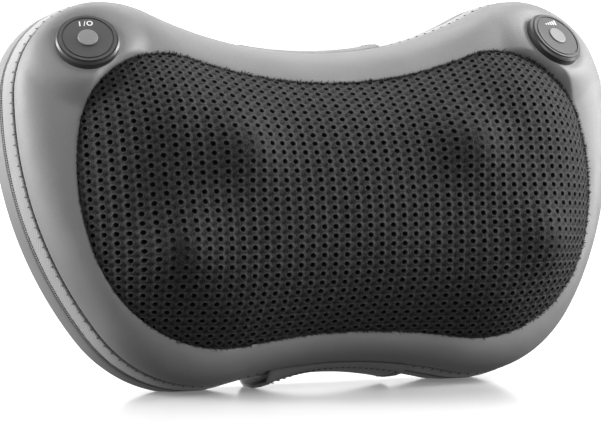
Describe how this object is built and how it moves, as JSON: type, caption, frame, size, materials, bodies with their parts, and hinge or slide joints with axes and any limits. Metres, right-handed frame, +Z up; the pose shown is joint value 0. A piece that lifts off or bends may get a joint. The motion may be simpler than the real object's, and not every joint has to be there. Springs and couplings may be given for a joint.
{
  "type": "shiatsu neck massager",
  "caption": "Dog-bone shiatsu neck pillow with a domed mesh front, leatherette rim, kneading heads on geared rotors, round control pods, zip and back strap.",
  "frame": {"origin": "centre of the footprint, on the plane the two lower lobes stand on", "axes": "+X to the right along the pillow, -Y out of the mesh front, +Z up; the pillow leans back by 10.5 degrees"},
  "size_m": [0.3214, 0.1032, 0.1874],
  "materials": {
    "leatherette": "grey leatherette, fine grain, soft sheen",
    "back_leatherette": "grey leatherette",
    "air_mesh": "black knitted spacer mesh",
    "lining": "black knitted cloth",
    "foam": "open-cell foam",
    "woven_strip": "grey plain weave",
    "zip_tape": "light grey woven tape",
    "zip_coil": "black nylon coil",
    "zip_metal": "black enamelled zinc",
    "housing_plastic": "black ABS, fine spark texture",
    "arm_plastic": "off-white glass-filled nylon",
    "head_cap": "translucent red-brown moulding",
    "head_hub": "off-white nylon",
    "gear_nylon": "natural nylon",
    "worm_brass": "machined brass",
    "steel": "ground steel",
    "screws": "zinc-plated steel",
    "bronze": "sintered bronze",
    "motor_steel": "plated steel",
    "black_plastic": "black moulding",
    "magnet": "ferrite",
    "armature": "laminated steel and copper windings",
    "circuit_board": "green solder mask",
    "components": "moulded component bodies",
    "lead_sheath": "black sheath",
    "pod_base": "black satin ABS",
    "pod_face": "dark grey satin ABS",
    "button": "light grey satin ABS"
  },
  "bodies": {
    "root": {"back_padding": "foam", "back_panel": "back_leatherette", "back_strap": "back_leatherette", "board_components": "components", "circuit_board": "circuit_board", "clamp_screws": "screws", "front_cover": "leatherette", "front_deck": "housing_plastic", "front_padding": "foam", "housing_screws": "screws", "inlet_lead": "lead_sheath", "inlet_pin": "steel", "inner_lining": "lining", "left_bushes": "bronze", "left_pod_base": "pod_base", "left_pod_face": "pod_face", "left_pod_switch": "components", "mesh_panel": "air_mesh", "motor_can": "motor_steel", "motor_clamp": "motor_steel", "motor_end_cap": "black_plastic", "motor_leads": "lead_sheath", "motor_magnets": "magnet", "pod_leads": "lead_sheath", "power_inlet": "black_plastic", "rear_housing": "housing_plastic", "right_bushes": "bronze", "right_pod_base": "pod_base", "right_pod_face": "pod_face", "right_pod_switch": "components", "side_padding": "foam", "side_strip": "woven_strip", "worm_bush": "bronze", "zip_slider": "zip_metal", "zip_tape": "zip_tape", "zip_teeth": "zip_coil"},
    "left_rotor": {"left_arm": "arm_plastic", "left_shaft": "steel", "left_worm_wheel": "gear_nylon", "left_head_axles": "steel", "left_arm_screw": "screws"},
    "left_upper_head": {"left_upper_head_cap": "head_cap", "left_upper_head_hub": "head_hub"},
    "left_lower_head": {"left_lower_head_cap": "head_cap", "left_lower_head_hub": "head_hub"},
    "left_button": {"left_button": "button"},
    "right_rotor": {"right_arm": "arm_plastic", "right_shaft": "steel", "right_worm_wheel": "gear_nylon", "right_head_axles": "steel", "right_arm_screw": "screws"},
    "right_upper_head": {"right_upper_head_cap": "head_cap", "right_upper_head_hub": "head_hub"},
    "right_lower_head": {"right_lower_head_cap": "head_cap", "right_lower_head_hub": "head_hub"},
    "right_button": {"right_button": "button"},
    "motor_rotor": {"armature": "armature", "worm": "worm_brass"},
    "zip_puller": {"zip_puller": "zip_metal"}
  },
  "joints": [
    {"name": "left_rotor_spin", "type": "hinge", "parent": "root", "child": "left_rotor", "pos_m": [-0.067, -0.00195, 0.08737], "axis": [0, 0.9833, -0.1822], "continuous": true},
    {"name": "left_upper_head_spin", "type": "hinge", "parent": "left_rotor", "child": "left_upper_head", "pos_m": [-0.04791, -0.01009, 0.11373], "axis": [0, 0.9833, -0.1822], "continuous": true},
    {"name": "left_lower_head_spin", "type": "hinge", "parent": "left_rotor", "child": "left_lower_head", "pos_m": [-0.08609, -0.01899, 0.06569], "axis": [0, 0.9833, -0.1822], "continuous": true},
    {"name": "left_button_press", "type": "slide", "parent": "root", "child": "left_button", "axis": [0.2377, 0.723, -0.6487], "range_m": [0, 0.0006], "stiffness_N_per_m": 600, "springref_m": -0.0008},
    {"name": "right_rotor_spin", "type": "hinge", "parent": "root", "child": "right_rotor", "pos_m": [0.067, -0.00195, 0.08737], "axis": [0, 0.9833, -0.1822], "continuous": true},
    {"name": "right_upper_head_spin", "type": "hinge", "parent": "right_rotor", "child": "right_upper_head", "pos_m": [0.04791, -0.01009, 0.11373], "axis": [0, 0.9833, -0.1822], "continuous": true},
    {"name": "right_lower_head_spin", "type": "hinge", "parent": "right_rotor", "child": "right_lower_head", "pos_m": [0.08609, -0.01899, 0.06569], "axis": [0, 0.9833, -0.1822], "continuous": true},
    {"name": "right_button_press", "type": "slide", "parent": "root", "child": "right_button", "axis": [-0.2377, 0.723, -0.6487], "range_m": [0, 0.0006], "stiffness_N_per_m": 600, "springref_m": -0.0008},
    {"name": "motor_spin", "type": "hinge", "parent": "root", "child": "motor_rotor", "pos_m": [0, 0.01385, 0.09309], "axis": [0, 0.1822, 0.9833], "continuous": true},
    {"name": "zip_puller_hinge", "type": "hinge", "parent": "root", "child": "zip_puller", "pos_m": [0.15581, 0.00987, 0.07434], "axis": [0, -0.9833, 0.1822], "range_deg": [0, 150]}
  ],
  "couplings": [
    {"joint": "right_rotor_spin", "follows": "left_rotor_spin", "ratio": -1},
    {"joint": "motor_spin", "follows": "left_rotor_spin", "ratio": 60}
  ]
}
